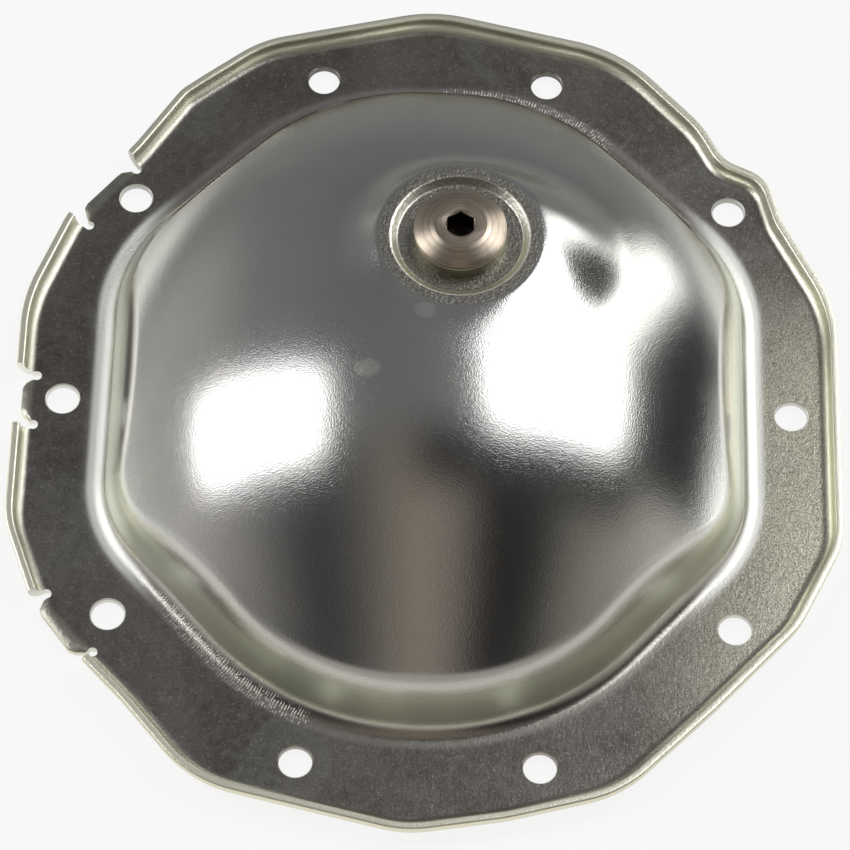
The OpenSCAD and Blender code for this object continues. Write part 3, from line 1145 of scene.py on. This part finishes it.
@dataclass
class Studio:
    """Floor, lamps and camera."""

    aim: tuple = (-0.0004, -0.0057, 0.0023)
    distance: float = 1.1436
    elevation: float = math.radians(60.05)
    azimuth: float = math.radians(-0.36)
    roll: float = math.radians(1.085)
    lens: float = 173.67
    reach: float = 1.3

    def camera(self) -> None:
        """Sets the camera where the photograph's was."""
        data = bpy.data.cameras.new("camera")
        data.lens = self.lens
        data.sensor_width = 36.0
        data.sensor_fit = "HORIZONTAL"
        data.clip_end = 50.0
        camera = bpy.data.objects.new("camera", data)
        bpy.context.collection.objects.link(camera)
        level = math.cos(self.elevation)
        back = Vector((-math.sin(self.azimuth) * level, -math.cos(self.azimuth) * level,
                       math.sin(self.elevation)))
        turn = back.to_track_quat("Z", "Y").to_matrix().to_4x4()
        turn = turn @ Matrix.Rotation(self.roll, 4, "Z")
        camera.matrix_world = Matrix.Translation(Vector(self.aim) + back * self.distance) @ turn
        bpy.context.scene.camera = camera

    def floor(self) -> None:
        """Lays a pale floor, white to the camera, that keeps the part's shadow."""
        bpy.ops.mesh.primitive_plane_add(size=12.0, location=(0, 0, -0.0003))
        floor = bpy.context.object
        floor.name = "floor"
        n = Nodes(bpy.data.materials.new("floor_white"))
        path = n.add("ShaderNodeLightPath")
        seen, mirrored = path.outputs["Is Camera Ray"], path.outputs["Is Glossy Ray"]
        at = n.add("ShaderNodeSeparateXYZ")
        n.plug(n.add("ShaderNodeTexCoord").outputs["Object"], at.inputs[0])
        cards = n.tones(n.math("MULTIPLY", at.outputs[0], 2.0), [
            (-0.8, (1.6, 1.6, 1.5)), (-0.3, (1.4, 1.4, 1.3)), (-0.16, (0.45, 0.44, 0.42)),
            (0.0, (0.26, 0.26, 0.25)), (0.14, (0.34, 0.34, 0.33)), (0.36, (1.5, 1.5, 1.4)),
            (0.9, (1.5, 1.5, 1.4))])
        cards = n.mix(n.ramp(at.outputs[1], 0.05, -0.16), cards, (0.80, 0.78, 0.72, 1.0))
        cards = n.mix(n.ramp(at.outputs[1], 0.12, 0.17), cards, (0.27, 0.27, 0.26, 1.0))
        paint = n.add("ShaderNodeBsdfDiffuse")
        paint.inputs["Color"].default_value = (0.9, 0.9, 0.9, 1.0)
        white = n.add("ShaderNodeEmission")
        n.plug(n.mix(mirrored, (1.0, 1.0, 1.0, 1.0), cards), white.inputs["Color"])
        both = n.add("ShaderNodeMixShader")
        n.plug(n.math("MAXIMUM", n.math("MULTIPLY", seen, 0.86), mirrored), both.inputs[0])
        n.plug(paint.outputs[0], both.inputs[1])
        n.plug(white.outputs[0], both.inputs[2])
        n.plug(both.outputs[0], n.output.inputs[0])
        floor.data.materials.append(n.owner)

    def softbox(self, name: str, toward: tuple, size: tuple, radiance: float) -> None:
        """Hangs a softbox that faces the part.

        Args:
            name: The lamp's name.
            toward: The direction from the crown in which it hangs.
            size: How far it reaches over the part and along it, at one metre's distance.
            radiance: How bright its face is.
        """
        face = Vector(toward).normalized()
        crown = Vector((0.05 * math.copysign(1.0, face.x), 0.0, 0.045))
        over = Vector((face.z, 0.0, -face.x)).normalized()
        along = face.cross(over)
        data = bpy.data.lights.new(name, "AREA")
        data.shape = "RECTANGLE"
        data.size, data.size_y = (length * self.reach for length in size)
        data.energy = radiance * math.pi * data.size * data.size_y
        lamp = bpy.data.objects.new(name, data)
        bpy.context.collection.objects.link(lamp)
        turn = Matrix((over, along, face)).transposed().to_4x4()
        lamp.matrix_world = Matrix.Translation(crown + face * self.reach) @ turn

    def world(self) -> None:
        """A surround that is white to the camera and a quiet grey room to the metal."""
        room = bpy.data.worlds.new("surround")
        bpy.context.scene.world = room
        n = Nodes(room)
        split = n.add("ShaderNodeSeparateXYZ")
        n.plug(n.add("ShaderNodeTexCoord").outputs["Generated"], split.inputs[0])
        x, y, z = split.outputs
        rise = n.math("ADD", n.math("MAXIMUM", z, -0.2), 1.0)
        over = n.math("DIVIDE", x, rise)
        along = n.math("DIVIDE", y, rise)
        near = n.tones(over, [
            (-0.9, (0.80, 0.79, 0.76)), (-0.7, (0.60, 0.58, 0.54)), (-0.5, (0.32, 0.31, 0.30)),
            (-0.38, (0.14, 0.135, 0.13)), (-0.28, (0.05, 0.05, 0.05)), (-0.18, (0.09, 0.09, 0.09)),
            (-0.09, (0.22, 0.20, 0.17)), (0.0, (0.36, 0.31, 0.26)), (0.09, (0.24, 0.21, 0.18)),
            (0.16, (0.02, 0.02, 0.02)), (0.28, (0.03, 0.03, 0.03)), (0.40, (0.22, 0.21, 0.18)),
            (0.52, (0.40, 0.38, 0.33)), (0.72, (0.68, 0.66, 0.60)), (0.9, (0.80, 0.78, 0.72))])
        far = n.tones(over, [
            (-0.92, (0.80, 0.80, 0.76)), (-0.8, (0.54, 0.54, 0.50)), (-0.6, (0.44, 0.43, 0.41)),
            (-0.4, (0.24, 0.24, 0.24)), (-0.15, (0.19, 0.19, 0.19)), (0.2, (0.23, 0.23, 0.23)),
            (0.48, (0.13, 0.13, 0.12)), (0.62, (0.03, 0.03, 0.03)), (0.83, (0.03, 0.03, 0.03)),
            (0.90, (2.3, 2.3, 2.2)), (1.0, (2.6, 2.6, 2.5))])
        colour = n.mix(n.ramp(along, 0.0, 0.06), near, far)
        colour = n.mix(n.math("MULTIPLY", n.ramp(along, 0.6, 0.9), 0.85), colour,
                       (0.22, 0.22, 0.215, 1.0))
        colour = n.mix(n.ramp(along, -0.45, -0.75), colour, (0.50, 0.48, 0.44, 1.0))
        dusk = n.math("MULTIPLY", n.band(along, -0.6, -0.24, 0.08),
                      n.ramp(n.math("ABSOLUTE", over), 0.45, 0.6))
        colour = n.mix(n.math("MULTIPLY", dusk, 0.4), colour, (0.0, 0.0, 0.0, 1.0))
        inner = n.math("SUBTRACT", over, n.math("MULTIPLY_ADD", along, 0.70, 0.03))
        outer = n.math("SUBTRACT", over, n.math("MULTIPLY_ADD", along, 0.55, 0.31))
        tail = n.math("MULTIPLY", n.ramp(outer, 0.02, -0.02), n.ramp(inner, -0.02, 0.03))
        tail = n.math("MULTIPLY", tail, n.band(along, 0.33, 0.86, 0.04))
        edge = n.math("MULTIPLY", n.band(along, -0.06, 0.05, 0.02), n.band(over, -0.03, 0.54, 0.04))
        colour = n.mix(edge, colour, (0.02, 0.02, 0.02, 1.0))
        colour = n.mix(tail, colour, (2.6, 2.6, 2.5, 1.0))
        grey = n.add("ShaderNodeBackground")
        n.plug(colour, grey.inputs["Color"])
        white = n.add("ShaderNodeBackground")
        white.inputs["Color"].default_value = (1.0, 1.0, 1.0, 1.0)
        both = n.add("ShaderNodeMixShader")
        n.plug(n.add("ShaderNodeLightPath").outputs["Is Camera Ray"], both.inputs[0])
        n.plug(grey.outputs[0], both.inputs[1])
        n.plug(white.outputs[0], both.inputs[2])
        n.plug(both.outputs[0], n.output.inputs[0])

    def build(self) -> None:
        """Sets up the whole stage."""
        self.camera()
        self.floor()
        self.softbox("softbox_left", (-0.695, 0.16, 0.70), (0.66, 0.36), 3.6)
        self.softbox("softbox_right", (0.525, 0.32, 0.79), (0.69, 0.44), 3.6)
        self.world()
        bpy.context.scene.view_settings.view_transform = "Standard"


def dress(piece: bpy.types.Object, node: str, finish: bpy.types.Material) -> None:
    """Puts a finished piece in the place of its CAD node.

    Args:
        piece: The finished piece.
        node: The CAD node that it stands for.
        finish: The piece's material.
    """
    piece.data.materials.clear()
    piece.data.materials.append(finish)
    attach(piece, "root")
    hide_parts(node)
    LOG.info("%s stands for %s: %d faces", piece.name, node, len(piece.data.polygons))


def main() -> None:
    """Builds and dresses every piece, then the stage."""
    logging.basicConfig(level=logging.INFO)
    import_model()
    plug_low, plug_high = (np.array(corner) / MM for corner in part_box("fill_plug"))
    boss_low, boss_high = (np.array(corner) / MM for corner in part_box("fill_boss"))
    centre = (boss_low[:2] + boss_high[:2]) / 2
    boss = FillBoss(centre=centre, seat_z=boss_high[2] - 4.0)
    cover = PressedCover(seat_z=boss.seat_z, plug=centre)
    plug = FillPlug(centre=centre, under_head=boss_high[2], top=plug_high[2], bottom=plug_low[2])
    axis = (float(centre[0]), float(centre[1]))
    dress(cover.build(), "cover", ZincSheet().build("zinc_sheet"))
    dress(boss.build(), "fill_boss", TurnedMetal(
        colour=(0.55, 0.53, 0.40, 1.0), shade=(0.42, 0.40, 0.29, 1.0),
        roughness=0.22).build("zinc_boss", axis))
    dress(plug.build(), "fill_plug", TurnedMetal(
        socket_shade_r=4.4, socket_shade_z=float(plug_high[2]) - 0.3).build("turned_steel", axis))
    Studio().build()


if __name__ == "__main__":
    main()
